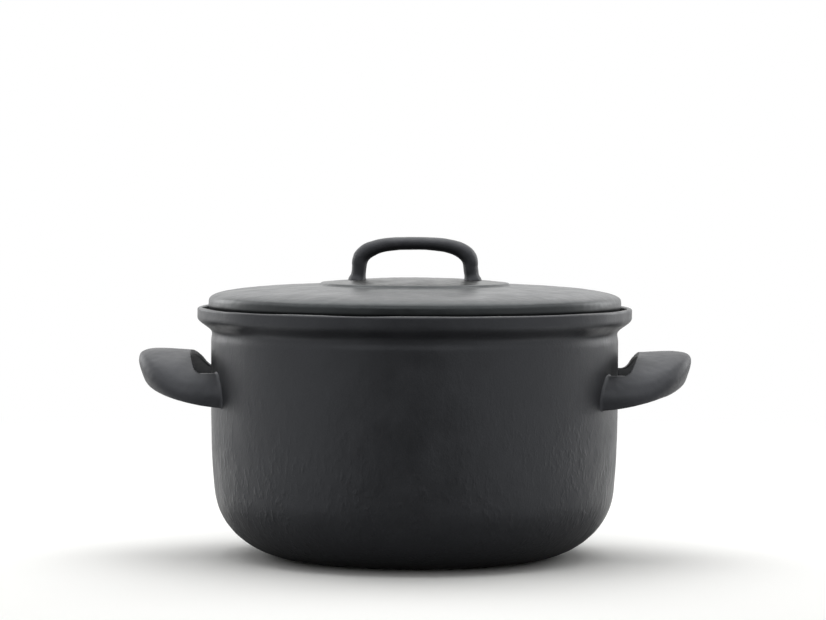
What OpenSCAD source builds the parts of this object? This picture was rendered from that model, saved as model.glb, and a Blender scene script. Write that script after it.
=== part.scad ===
// Enamelled cast-iron pot with two hood-shaped side handles and a low domed lid with a bow handle.
// Frame: +Z up, origin at the centre of the base, side handles on +X and -X. Millimetres.

/* [Body] */
// Outer diameter of the wall just below the collar
body_d = 242.5; // [220:0.5:270]
// Height of the rim above the table
body_h = 148; // [130:1:180]
// Thickness of the cast wall
wall_t = 3.5; // [3:0.1:5]
// Thickness of the base
base_t = 4.5; // [3.5:0.1:7]
// Diameter of the flat that the pot stands on
base_d = 149; // [130:1:170]
// Height of the rounded corner between the base and the wall
corner_h = 38; // [24:1:50]
// How far the wall draws in from the collar down to the base
belly_in = 12; // [4:0.5:14]

/* [Collar] */
// How far the collar stands out from the wall
collar_out = 8.4; // [6:0.1:12]
// Thickness of the collar beside the lid
collar_t = 3.7; // [3:0.1:5]
// Height of the collar from its neck to the rim
collar_h = 15.4; // [13:0.2:24]
// Height over which the neck swells out to the collar
swell_h = 9.4; // [6:0.2:11]
// Depth of the neck that runs round the wall under the collar
neck_in = 0.5; // [0.1:0.1:1.2]
// Depth of the lid's seat below the rim
ledge_depth = 6.5; // [4:0.5:8]
// Radius of the rim's rounded edges
rim_r = 1.4; // [0.6:0.1:1.5]

/* [Lid] */
// Gap between the lid's edge and the collar
lid_gap = 3; // [1:0.1:3.5]
// Thickness of the lid's plate
lid_t = 3.5; // [3:0.1:5]
// Width of the ring that the lid stands on
lid_land = 5; // [4:0.1:7]
// Height of the lid's upright edge above its seat
lid_edge_h = 9.2; // [8:0.2:16]
// Rise of the lid's dome above its edge
lid_rise = 11.2; // [8:0.2:18]
// Diameter of the raised disc in the middle of the lid
disc_d = 111; // [95:1:140]
// Height of the step round the disc
disc_step = 1; // [0.4:0.1:2.5]
// Rise of the disc from its edge to its middle
disc_crown = 3.2; // [0.5:0.1:5]

/* [Bow handle] */
// Width across the outside of the bow's legs
bow_w = 75; // [60:0.5:88]
// Height of the bow's top above its feet
bow_h = 25.8; // [22:0.2:40]
// Thickness of the bow's bar, seen from the front
bow_t = 7.8; // [6:0.2:11]
// Thickness of the bow's legs, seen from the front
leg_t = 8.4; // [6:0.2:11]
// Extra thickness where the bow turns at its shoulders
shoulder_swell = 1.4; // [0:0.2:3]
// How far each leg spreads from its shoulder to its foot
leg_spread = 1.2; // [0:0.2:4]
// Depth of the bow from front to back
bow_deep = 14; // [10:0.5:22]
// Height of the rounded shoulders at the bow's ends
shoulder_h = 13.5; // [9:0.5:16]
// How far each foot flares where it meets the lid
foot_out = 2.2; // [0.5:0.1:4]
// Height of the flare at each foot
foot_h = 4; // [2:0.5:7]

/* [Side handles] */
// Reach of each side handle from the wall to its tip
handle_reach = 43.5; // [34:0.5:60]
// Width of each side handle along the wall
handle_w = 101; // [80:1:120]
// Distance of the handle's crown below the rim
handle_drop = 26.5; // [20:0.5:40]
// Height of the handle's arch at the wall
handle_h = 31.5; // [26:0.5:42]
// Thickness of the handle's shell
handle_t = 3; // [2.4:0.1:4]
// Drop from the crown to the foremost point of the tip
tip_drop = 5.6; // [3:0.2:9]
// How far the hem rises from the wall to the tip
hem_rise = 12.8; // [8:0.1:16]
// How far the nose slants back from its foremost point to the hem
nose_back = 5; // [1:0.2:8]
// How far the crown lifts towards the tip
lip_up = 2; // [0:0.1:3]
// Width of the vent between the wall and the handle's crown
vent_gap = 11.8; // [8:0.2:18]
// Depth of the vent below the crown
vent_depth = 11.5; // [7:0.5:16]
// Radius in the lower corner of the vent
vent_r = 4.5; // [2:0.5:6]
// Radius of the fillet where a handle meets the wall
root_r = 2.5; // [1:0.1:4]

/* [Hidden] */
$fn = 96;
enamel = [0.17, 0.17, 0.18];

// Radii and heights that follow from the sizes above
body_r = body_d / 2;
base_r = base_d / 2;
corner_w = body_r - belly_in - base_r;
neck_z = body_h - collar_h;
ledge_z = body_h - ledge_depth;
collar_r = body_r + collar_out;
seat_r = collar_r - collar_t;
lid_r = seat_r - lid_gap;
lid_edge_z = ledge_z + lid_edge_h;
disc_r = disc_d / 2;

// Shape of the curves: how late the belly draws in, and how full the dome and the arches are
belly_power = 4.9;
corner_power = 2.1;
dome_power = 3;
bow_power = 2.6;
bow_section_power = 2.4;
crown_power = 3.8;
hem_power = 1.5;
// Height of the upright strip above the hem at the wall, and how far it leans in
side_skirt = 3;
side_lean = 0.4;
// Height of the tip's blunt end
tip_h = 0.8;
// Upright run over which the wall draws in to the neck, and width of the step round the disc
neck_run = 5;
step_run = 1.6;
// Radius of the lid's lower edge
lid_foot_r = 0.8;
// How deep the first ring of a handle's fillet lies inside the wall
root_sink = 0.4;

// Number of steps along each curve
corner_steps = 12;
wall_steps = 8;
neck_steps = 4;
swell_steps = 8;
round_steps = 4;
dome_steps = 12;
disc_steps = 6;
shoulder_steps = 16;
flare_steps = 4;
section_steps = 20;
arch_steps = 22;
skirt_steps = 3;
nose_steps = 10;
root_steps = 3;

function mix(a, b, s) = a + (b - a) * s;
// Smooth step from 0 to 1, level at both ends
function ease(s) = (1 - cos(180 * s)) / 2;
// Power that keeps the sign, for superellipses
function signed_pow(v, p) = sign(v) * pow(abs(v), p);
// Height on a unit superellipse at distance q from its middle
function super(q, p) = pow(max(0, 1 - pow(min(1, max(0, q)), p)), 1 / p);
function arc(centre, r, from, to) =
    [for (k = [0:round_steps]) centre + r * [cos(mix(from, to, k / round_steps)),
                                             sin(mix(from, to, k / round_steps))]];

// Body: a wall that draws in towards the base, with a rounded corner

function belly(z) = belly_in * pow(max(0, 1 - z / neck_z), belly_power);
function wall_r(z) = body_r - belly(z) - corner_w * (1 - super(1 - z / corner_h, corner_power));
wall_top_z = neck_z - neck_run;
wall_outside = [
    for (k = [0:corner_steps]) let (z = corner_h * (1 - cos(90 * k / corner_steps))) [wall_r(z), z],
    for (k = [1:wall_steps]) let (z = mix(corner_h, wall_top_z, k / wall_steps)) [wall_r(z), z]];
wall_last = len(wall_outside) - 1;
// Direction into the metal, square to the outside of the wall; straight up at the edge of the base
function inward(k) = k == 0 ? [0, 1] : k == wall_last ? [-1, 0] :
    let (run = wall_outside[k + 1] - wall_outside[k - 1]) [-run.y, run.x] / norm(run);
function metal_t(z) = mix(base_t, wall_t, min(1, z / corner_h));
wall_inside = [for (k = [wall_last:-1:0]) wall_outside[k] + metal_t(wall_outside[k].y) * inward(k)];
neck_r = body_r - neck_in;
body_outline = concat(
    [[0, 0]],
    wall_outside,
    [for (k = [1:neck_steps]) let (s = k / neck_steps)
        [mix(body_r, neck_r, ease(s)), wall_top_z + neck_run * s]],
    [for (k = [1:swell_steps]) let (s = k / swell_steps)
        [mix(neck_r, collar_r, ease(s)), neck_z + swell_h * s]],
    arc([collar_r - rim_r, body_h - rim_r], rim_r, 0, 90),
    arc([seat_r + rim_r, body_h - rim_r], rim_r, 90, 180),
    [[seat_r, ledge_z], [body_r - wall_t, ledge_z]],
    wall_inside,
    [[0, base_t]]);

// Lid: a dome whose height falls as a superellipse towards its upright edge

function dome_s(r) = pow(1 - pow(r / lid_r, 2), 1 / dome_power);
function dome_point(s, drop) = [lid_r * sqrt(max(0, 1 - pow(s, dome_power))),
                                lid_edge_z + lid_rise * s - drop];
land_r = lid_r - lid_land;
step_s = dome_s(disc_r + step_run);
land_s = dome_s(land_r);
disc_edge_z = lid_edge_z + lid_rise * dome_s(disc_r) + disc_step;
function disc_z(r) = disc_edge_z + disc_crown * (1 - pow(r / disc_r, 2));
step_foot = dome_point(step_s, 0);
lid_outline = concat(
    arc([lid_r - lid_foot_r, ledge_z + lid_foot_r], lid_foot_r, -90, 0),
    [for (k = [0:dome_steps]) dome_point(step_s * k / dome_steps, 0)],
    [for (k = [1:neck_steps]) let (s = k / neck_steps)
        [step_foot.x - step_run * s, mix(step_foot.y, disc_edge_z, ease(s))]],
    [for (k = [1:disc_steps]) let (r = disc_r * (1 - k / disc_steps)) [r, disc_z(r)]],
    [for (k = [dome_steps:-1:0]) dome_point(mix(land_s, 1, k / dome_steps), lid_t)],
    [[land_r, ledge_z]]);

// Bow: an oval section carried along two legs and a superellipse arch, with flared feet

leg_x = (bow_w - leg_t) / 2;
foot_x = leg_x + leg_spread;
foot_z = disc_z(foot_x);
bow_top_z = foot_z + bow_h;
shoulder_z = bow_top_z - bow_t / 2 - shoulder_h;
bow_root_z = foot_z - lid_t / 2;
function leg_at(z) = mix(foot_x, leg_x, pow(min(1, max(0, z - foot_z) / (shoulder_z - foot_z)), 0.8));
bow_path = concat(
    [[-foot_x, bow_root_z]],
    [for (k = [0:flare_steps]) let (z = foot_z + foot_h * k / flare_steps) [-leg_at(z), z]],
    [for (k = [0:shoulder_steps]) let (a = 180 * (1 - k / shoulder_steps))
        [leg_x * signed_pow(cos(a), 2 / bow_power),
         shoulder_z + shoulder_h * pow(sin(a), 2 / bow_power)]],
    [for (k = [flare_steps:-1:0]) let (z = foot_z + foot_h * k / flare_steps) [leg_at(z), z]],
    [[foot_x, bow_root_z]]);
bow_last = len(bow_path) - 1;
// Each section lies square to the path, between the points before and after it
function bow_square(k) = let (run = bow_path[min(bow_last, k + 1)] - bow_path[max(0, k - 1)])
    [-run.y, run.x] / norm(run);
function flare(z) = foot_out * pow(max(0, 1 - max(0, z - foot_z) / foot_h), 2);
function bow_half_t(p) = let (s = min(1, max(0, p.y - shoulder_z) / shoulder_h))
    mix(leg_t, bow_t, s) / 2 + 2 * shoulder_swell * s * (1 - s) + flare(p.y);
bow_points = [for (k = [0:bow_last]) for (j = [0:section_steps - 1])
    let (a = 360 * j / section_steps, p = bow_path[k], out = bow_square(k),
         u = bow_half_t(p) * signed_pow(cos(a), 2 / bow_section_power),
         v = (bow_deep / 2 + flare(p.y)) * signed_pow(sin(a), 2 / bow_section_power))
    [p.x + out.x * u, v, p.y + out.y * u]];
function bow_index(k, j) = k * section_steps + j % section_steps;
bow_faces = concat(
    [[for (j = [section_steps - 1:-1:0]) bow_index(0, j)]],
    [for (k = [0:bow_last - 1]) for (j = [0:section_steps - 1])
        each [[bow_index(k, j), bow_index(k + 1, j + 1), bow_index(k + 1, j)],
              [bow_index(k, j), bow_index(k, j + 1), bow_index(k + 1, j + 1)]]],
    [[for (j = [0:section_steps - 1]) bow_index(bow_last, j)]]);

// Side handle: a hood open underneath, its arch carried out from the wall to a round nose

crown_z = body_h - handle_drop;
hem_z = crown_z - handle_h;
tip_x = body_r + handle_reach;
tip_z = crown_z - tip_drop;
nose_x = body_r + root_r + 1;
nose_run = tip_x - nose_x;
half_w = handle_w / 2;
// The crown stays level over most of its length and rounds down to the tip
function crown_at(x) = let (q = min(1, max(0, (x - body_r) / handle_reach)))
    mix(tip_z + tip_h, crown_z + lip_up * q * q, super(q, crown_power));
// The hem rises from the wall to the tip
hem_x = wall_x(half_w, hem_z);
function hem_at(x) = hem_z + hem_rise * pow(min(1, max(0, (x - hem_x) / (tip_x - hem_x))), hem_power);
// Height of the widest line above the hem, and how far the skirt leans in below it,
// from the side (s = 0) to the tip (s = 1)
function wide_at(s) = mix(hem_at(nose_x) + side_skirt, tip_z, s * s);
function lean_at(s) = mix(side_lean, nose_back, s * s);
function wall_x(y, z) = sqrt(pow(wall_r(z), 2) - y * y);
// A station is an offset from the wall, or an angle round the nose where its first value is 0
stations = concat(
    [[-wall_t / 2, -1]],
    [for (k = [0:root_steps]) [k == 0 ? -root_sink : root_r * (1 - cos(90 * k / root_steps)), -1]],
    [for (k = [0:nose_steps]) [0, 90 * k / nose_steps]]);
last = len(stations) - 1;
function root_flare(d) = d >= root_r ? 0 : root_r - sqrt(pow(root_r, 2) - pow(root_r - max(0, d), 2));
// A point of the arch at a station: up the skirt, over the crown and down the other skirt
function arch_point(station, inset, j) =
    let (in_root = station[1] < 0,
         s = in_root ? 0 : sin(station[1]),
         c = in_root ? 1 : station[1] == 90 ? 0 : cos(station[1]),
         grow = in_root && inset == 0 ? root_flare(station[0]) : 0,
         up = min(1, min(j, arch_steps - j) / skirt_steps),
         lean = inset + lean_at(s) * pow(1 - up, 1.5),
         x = nose_x + (nose_run - lean) * s,
         w = (half_w - lean) * c + grow,
         wide = wide_at(s) - (s == 1 ? inset / 2 : 0),
         top = crown_at(x) - inset + grow,
         t = 180 * min(1, max(0, (j - skirt_steps) / (arch_steps - 2 * skirt_steps))),
         y = -w * (t == 90 ? 0 : cos(t)),
         low = hem_at(in_root ? hem_x + station[0] : nose_x + nose_run * s),
         z = up < 1 ? mix(low, wide, up) : mix(wide, max(wide, top), sin(t)))
    [in_root ? wall_x(y, z) + station[0] : x, y, z];
// The hem is rounded by one point between the two sides, set a little lower
function hem_point(station, j) =
    (arch_point(station, 0, j) + arch_point(station, handle_t, j)) / 2 - [0, 0, handle_t / 4];
ring_n = 2 * arch_steps + 4;
function ring(station) = concat(
    [for (j = [0:arch_steps]) arch_point(station, 0, j)],
    [hem_point(station, arch_steps)],
    [for (j = [arch_steps:-1:0]) arch_point(station, handle_t, j)],
    [hem_point(station, 0)]);
// At the tip both halves of the arch meet, so the last ring holds each of its points once
half_n = arch_steps / 2;
tip_ring = concat(
    [for (j = [0:half_n]) arch_point(stations[last], 0, j)],
    [for (j = [0:half_n]) arch_point(stations[last], handle_t, j)],
    [hem_point(stations[last], 0)]);
function fold(k) =
    k <= arch_steps ? min(k, arch_steps - k) :
    k == arch_steps + 1 || k == ring_n - 1 ? 2 * half_n + 2 :
    let (j = 2 * arch_steps + 2 - k) half_n + 1 + min(j, arch_steps - j);
function hood_index(i, k) = let (m = k % ring_n) i * ring_n + (i < last ? m : fold(m));
hood_points = concat([for (i = [0:last - 1]) each ring(stations[i])], tip_ring);
hood_faces = concat(
    [for (i = [0:last - 1]) for (k = [0:ring_n - 1])
        each [[hood_index(i, k), hood_index(i, k + 1), hood_index(i + 1, k + 1)],
              [hood_index(i, k), hood_index(i + 1, k + 1), hood_index(i + 1, k)]]],
    [for (j = [0:arch_steps - 1]) let (back = 2 * arch_steps + 2 - j)
        each [[j, back, j + 1], [j + 1, back, back - 1]]],
    [[0, ring_n - 1, ring_n - 2], [arch_steps, arch_steps + 2, arch_steps + 1]]);

// The vent is a ring round the wall, so that its edge keeps an even distance from the pot
vent_out_r = body_r + vent_gap;
vent_z = crown_z - vent_depth;
vent_top_z = crown_z + lip_up + root_r;
vent_outline = concat(
    [[body_r - wall_t, vent_top_z], [body_r - wall_t, vent_z]],
    arc([vent_out_r - vent_r, vent_z + vent_r], vent_r, -90, 0),
    [[vent_out_r, vent_top_z]]);

module side_handle() {
    difference() {
        polyhedron(hood_points, hood_faces);
        rotate_extrude() polygon(vent_outline);
    }
}

module pot() {
    color(enamel) {
        rotate_extrude() polygon(body_outline);
        for (side = [0, 180]) rotate([0, 0, side]) side_handle();
    }
}

module bow() {
    polyhedron(bow_points, bow_faces);
}

module lid() {
    color(enamel) {
        rotate_extrude() polygon(lid_outline);
        bow();
    }
}

pot();
lid();
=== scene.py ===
"""Round enamelled cast-iron pot with its lid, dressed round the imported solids.

The body and the lid are profiles turned round the pot's axis, the lid's bow is an oval carried along an
arch, and each side handle is the surface where a field of distances is zero, because its rounded vent and
the fillet on the wall follow no grid. Sizes are in millimetres and are those of the solids, apart from small
corrections to the fillets, the handles' crowns, the bow's feet and the lid's edge.
"""
import logging
import math
from dataclasses import dataclass
from enum import Enum
from typing import Callable

import bpy
import numpy as np
from mathutils import Matrix, Vector


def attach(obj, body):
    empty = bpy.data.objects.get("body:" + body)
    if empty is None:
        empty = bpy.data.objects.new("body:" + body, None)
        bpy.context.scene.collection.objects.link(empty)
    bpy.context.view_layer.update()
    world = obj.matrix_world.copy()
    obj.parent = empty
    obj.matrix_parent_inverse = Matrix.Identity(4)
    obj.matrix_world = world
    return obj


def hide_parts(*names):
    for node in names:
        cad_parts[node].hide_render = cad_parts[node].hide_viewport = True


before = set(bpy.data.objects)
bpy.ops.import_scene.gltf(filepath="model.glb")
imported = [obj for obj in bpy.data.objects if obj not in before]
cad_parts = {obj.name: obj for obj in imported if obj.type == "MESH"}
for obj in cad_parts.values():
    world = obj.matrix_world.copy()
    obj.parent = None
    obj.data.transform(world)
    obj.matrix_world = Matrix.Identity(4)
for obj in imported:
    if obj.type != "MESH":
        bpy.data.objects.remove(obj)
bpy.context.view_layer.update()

LOG = logging.getLogger("pot")
MM = 0.001
TINY = 1e-9
Field = Callable[[np.ndarray], np.ndarray]
Tree = bpy.types.NodeTree
Socket = bpy.types.NodeSocket
Pair = tuple[float, float]
Triple = tuple[float, float, float]


class Slot(Enum):
    """Material slots of the record."""

    BODY = "enamelled_body"
    LID = "enamelled_lid"


class Side(Enum):
    """The two side handles, with the sign of their X."""

    RIGHT = 1
    LEFT = -1


# ---- Curves and fields


def ease(s: np.ndarray) -> np.ndarray:
    """Half a cosine wave from 0 to 1, level at both ends."""
    return (1 - np.cos(np.pi * s)) / 2


def mix(a: np.ndarray, b: np.ndarray, s: np.ndarray) -> np.ndarray:
    """The value a share s of the way from a to b."""
    return a + (b - a) * s


def super_height(q: np.ndarray, power: float) -> np.ndarray:
    """Height of a unit superellipse at q from its middle: (1 - q^n)^(1/n)."""
    return (1 - np.clip(q, 0, 1) ** power) ** (1 / power)


def signed_power(v: np.ndarray, power: float) -> np.ndarray:
    """The power of a value's size, with the value's sign."""
    return np.sign(v) * np.abs(v) ** power


def smooth_step(low: float, high: float, v: np.ndarray) -> np.ndarray:
    """0 below low, 1 above high and 3t^2 - 2t^3 between them."""
    t = np.clip((v - low) / (high - low), 0, 1)
    return t * t * (3 - 2 * t)


def unit(v: np.ndarray) -> np.ndarray:
    """Vectors brought to length 1, one to a row."""
    return v / np.maximum(np.linalg.norm(v, axis=-1, keepdims=True), TINY)


def square_to(path: np.ndarray) -> np.ndarray:
    """Unit vectors square to a flat path, on the left of its run."""
    run = np.gradient(path, axis=0)
    return unit(np.stack([-run[:, 1], run[:, 0]], -1))


def round_join(a: np.ndarray, b: np.ndarray, radius: float) -> np.ndarray:
    """Field of two solids together, with a round fillet between them.

    The lower distance, kept above the radius, less the length of what each distance lacks to the radius.
    """
    return np.maximum(radius, np.minimum(a, b)) - np.hypot(np.maximum(radius - a, 0), np.maximum(radius - b, 0))


def round_meet(a: np.ndarray, b: np.ndarray, radius: float) -> np.ndarray:
    """Field of what two solids share, with a rounded edge: the join of their outsides, turned inside out."""
    return -round_join(-a, -b, radius)


def slope_of(value: Field, points: np.ndarray, step: float = 0.02) -> np.ndarray:
    """Gradient of a field by central differences.

    Args:
        value: The field.
        points: Places, one to a row of three.
        step: Half the distance between the two samples on each axis.

    Returns:
        The gradient at each place.
    """
    moves = np.eye(3) * step
    return np.stack([(value(points + m) - value(points - m)) / (2 * step) for m in moves], -1)


def as_distance(value: Field, points: np.ndarray, flattest: float = 0.008) -> np.ndarray:
    """A field's value over the length of its gradient, never under a least length: nearly a distance."""
    return value(points) / np.maximum(np.linalg.norm(slope_of(value, points), axis=-1), flattest)


def resampled(parts: list[tuple[np.ndarray, float]]) -> np.ndarray:
    """Points along an outline, at a distance of their own on each stretch of it.

    Args:
        parts: The stretches: fine points, one to a row, and the distance wanted between the new ones.

    Returns:
        The new points, with the first and the last kept.
    """
    outline = np.concatenate([points for points, _ in parts])
    spacing = np.concatenate([np.full(len(points), gap) for points, gap in parts])
    lengths = np.linalg.norm(np.diff(outline, axis=0), axis=1)
    counted = np.concatenate([[0], np.cumsum(lengths / ((spacing[1:] + spacing[:-1]) / 2))])
    at = np.linspace(0, counted[-1], int(math.ceil(counted[-1])) + 1)
    return np.stack([np.interp(at, counted, column) for column in outline.T], -1)


def arc(centre: Pair, radius: float, start: float, end: float, count: int = 24) -> np.ndarray:
    """Points on an arc: the centre plus the radius times cosine and sine of an angle in degrees."""
    a = np.radians(np.linspace(start, end, count))
    return np.stack([centre[0] + radius * np.cos(a), centre[1] + radius * np.sin(a)], -1)


@dataclass(frozen=True)
class Relief:
    """Lumps of one size that the sand mould leaves in a surface.

    The height at a point is a sum of sine waves in random directions, each with its own length and phase,
    divided by the root of half their number so that it is about one depth high. The spread is the least and
    the greatest rate of a wave, as a share of the rate that the wavelength gives.
    """

    wavelength: float
    depth: float
    stretch: Triple = (1.0, 1.0, 1.0)
    seed: int = 1
    waves: int = 40
    spread: Pair = (0.7, 1.5)

    def at(self, points: np.ndarray) -> np.ndarray:
        """Height of the lumps.

        Args:
            points: Places, one to a row of three.

        Returns:
            The height at each place, in millimetres.
        """
        rng = np.random.default_rng(self.seed)
        way = unit(rng.normal(size=(self.waves, 3)))
        rate = way * 2 * np.pi / self.wavelength * rng.uniform(*self.spread, (self.waves, 1))
        rate /= np.array(self.stretch)
        phase = rng.uniform(0, 2 * np.pi, self.waves)
        return self.depth * math.sqrt(2 / self.waves) * np.sin(points @ rate.T + phase).sum(-1)


# ---- Meshes


def new_piece(name: str, points: np.ndarray, faces: list[np.ndarray]) -> bpy.types.Object:
    """A smooth mesh object at the origin.

    Args:
        name: The object's name.
        points: Vertices in millimetres.
        faces: Arrays of vertex numbers, each with one face to a row.

    Returns:
        The object, linked to the scene.
    """
    mesh = bpy.data.meshes.new(name)
    corners = np.concatenate([f.ravel() for f in faces]).astype(np.int32)
    sides = np.concatenate([np.full(len(f), f.shape[1]) for f in faces])
    mesh.vertices.add(len(points))
    mesh.vertices.foreach_set("co", (points * MM).astype(np.float32).ravel())
    mesh.loops.add(len(corners))
    mesh.loops.foreach_set("vertex_index", corners)
    mesh.polygons.add(len(sides))
    mesh.polygons.foreach_set("loop_start", np.concatenate([[0], np.cumsum(sides)[:-1]]).astype(np.int32))
    mesh.polygons.foreach_set("use_smooth", np.ones(len(sides), bool))
    mesh.update(calc_edges=True)
    mesh.validate()
    piece = bpy.data.objects.new(name, mesh)
    bpy.context.scene.collection.objects.link(piece)
    return piece


def tube_faces(rows: int, columns: int) -> list[np.ndarray]:
    """Faces of a grid closed round its columns, with one more vertex at each end as its poles.

    Vertex 0 is the first pole, the rows follow, and the last vertex is the other pole.

    Args:
        rows: Number of rings.
        columns: Number of vertices in each.

    Returns:
        The quads between the rings and the triangles at each pole, as rows of vertex numbers.
    """
    row, column = np.meshgrid(np.arange(rows - 1), np.arange(columns), indexing="ij")
    after = (column + 1) % columns
    first = 1 + row * columns
    sides = np.stack([first + column, first + after, first + columns + after, first + columns + column], -1)
    ring = np.arange(columns)
    following = (ring + 1) % columns
    top = 1 + (rows - 1) * columns
    start = np.stack([np.zeros_like(ring), 1 + following, 1 + ring], -1)
    end = np.stack([np.full_like(ring, 1 + rows * columns), top + ring, top + following], -1)
    return [sides.reshape(-1, 4), start, end]


def turned(name: str, profile: np.ndarray, columns: int, sunk: Field) -> bpy.types.Object:
    """A profile turned round the Z axis and closed at both poles.

    A point is (r cos a, r sin a, z), moved along the profile's normal into the metal by the sunk depth.

    Args:
        name: The object's name.
        profile: Radius and height of each point, from the underside's centre round to the other centre.
        columns: Number of steps round the axis.
        sunk: Depth below the plain surface at each point, never less than 0.

    Returns:
        The closed object.
    """
    outward = -square_to(profile)
    a = np.linspace(0, 2 * np.pi, columns, endpoint=False)
    turn = np.stack([np.cos(a), np.sin(a)], -1)

    def carried(rz: np.ndarray) -> np.ndarray:
        """Radius and height pairs, each carried once round the axis."""
        up = np.broadcast_to(rz[:, None, 1:], (len(rz), columns, 1))
        return np.concatenate([rz[:, None, :1] * turn, up], -1).reshape(-1, 3)

    inner = slice(1, -1)
    points = carried(profile[inner])
    points = points - carried(outward[inner]) * np.maximum(0, sunk(points))[:, None]
    poles = np.array([[0, 0, profile[0, 1]], [0, 0, profile[-1, 1]]])
    points = np.concatenate([poles[:1], points, poles[1:]])
    return new_piece(name, points, tube_faces(len(profile) - 2, columns))


def level_surface(value: np.ndarray, corner: np.ndarray, cell: float) -> tuple[np.ndarray, np.ndarray]:
    """Vertices and faces where a field that was sampled on a regular grid is zero.

    A cube of eight samples with both signs gets one vertex, the mean of the points where the field is zero
    on its edges. A grid edge whose ends differ in sign gets a face between the four cubes round it.

    Args:
        value: Samples, negative inside the metal.
        corner: Place of the first sample.
        cell: Distance between samples.

    Returns:
        The vertices, and the faces as rows of four vertex numbers that turn outwards.
    """
    cubes = tuple(n - 1 for n in value.shape)
    total = np.zeros(cubes + (3,))
    count = np.zeros(cubes)
    inside = value < 0
    crossed = []
    for axis in range(3):
        lower = tuple(slice(None, -1) if k == axis else slice(None) for k in range(3))
        upper = tuple(slice(1, None) if k == axis else slice(None) for k in range(3))
        changes = inside[lower] != inside[upper]
        share = value[lower] / np.where(changes, value[lower] - value[upper], 1)
        place = np.stack(np.meshgrid(*[np.arange(n, dtype=float) for n in changes.shape], indexing="ij"), -1)
        place[..., axis] += share
        for shift in np.ndindex(2, 2):
            take = tuple(slice(at, at + size) for at, size in zip(np.insert(shift, axis, 0), cubes))
            total += np.where(changes[take][..., None], place[take], 0)
            count += changes[take]
        crossed.append((changes, inside[lower]))
    used = count > 0
    number = np.full(cubes, -1)
    number[used] = np.arange(used.sum())
    points = corner + cell * total[used] / count[used][:, None]
    faces = []
    for axis, (changes, starts_inside) in enumerate(crossed):
        second, third = (axis + 1) % 3, (axis + 2) % 3
        where = np.argwhere(changes)
        keep = (where[:, second] > 0) & (where[:, third] > 0)
        keep &= (where[:, second] < cubes[second]) & (where[:, third] < cubes[third])
        where = where[keep]
        moves = np.zeros((4, 3), int)
        moves[:, [second, third]] = (1, 1), (0, 1), (0, 0), (1, 0)
        quads = np.stack([number[tuple((where - move).T)] for move in moves], -1)
        outward = starts_inside[tuple(where.T)]
        faces.append(np.where(outward[:, None], quads, quads[:, ::-1]))
    return points, np.concatenate(faces)


# ---- Finishes


def linear(code: str) -> tuple[float, float, float, float]:
    """A colour of an sRGB hex code as the linear values that a shader takes."""
    parts = [int(code[k:k + 2], 16) / 255 for k in (1, 3, 5)]
    return tuple(p / 12.92 if p <= 0.04045 else ((p + 0.055) / 1.055) ** 2.4 for p in parts) + (1.0,)


def add_node(tree: Tree, kind: str, settings: dict[str, object] | None = None,
             sockets: dict[str | int, object] | None = None) -> bpy.types.Node:
    """Adds a node, sets its properties and fills or links its sockets.

    Args:
        tree: The material's or the world's node tree.
        kind: The node's type without the words ShaderNode.
        settings: Properties by name.
        sockets: Inputs by name or number: another node's output to link, or a plain value.

    Returns:
        The new node.
    """
    made = tree.nodes.new("ShaderNode" + kind)
    for key, value in (settings or {}).items():
        setattr(made, key, value)
    for key, value in (sockets or {}).items():
        if isinstance(value, Socket):
            tree.links.new(value, made.inputs[key])
        else:
            made.inputs[key].default_value = value
    return made


def emptied(owner: bpy.types.Material | bpy.types.World) -> Tree:
    """Switches on the nodes of a material or a world and clears them.

    Args:
        owner: The material or the world.

    Returns:
        Its empty node tree.
    """
    owner.use_nodes = True
    owner.node_tree.nodes.clear()
    return owner.node_tree


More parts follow.
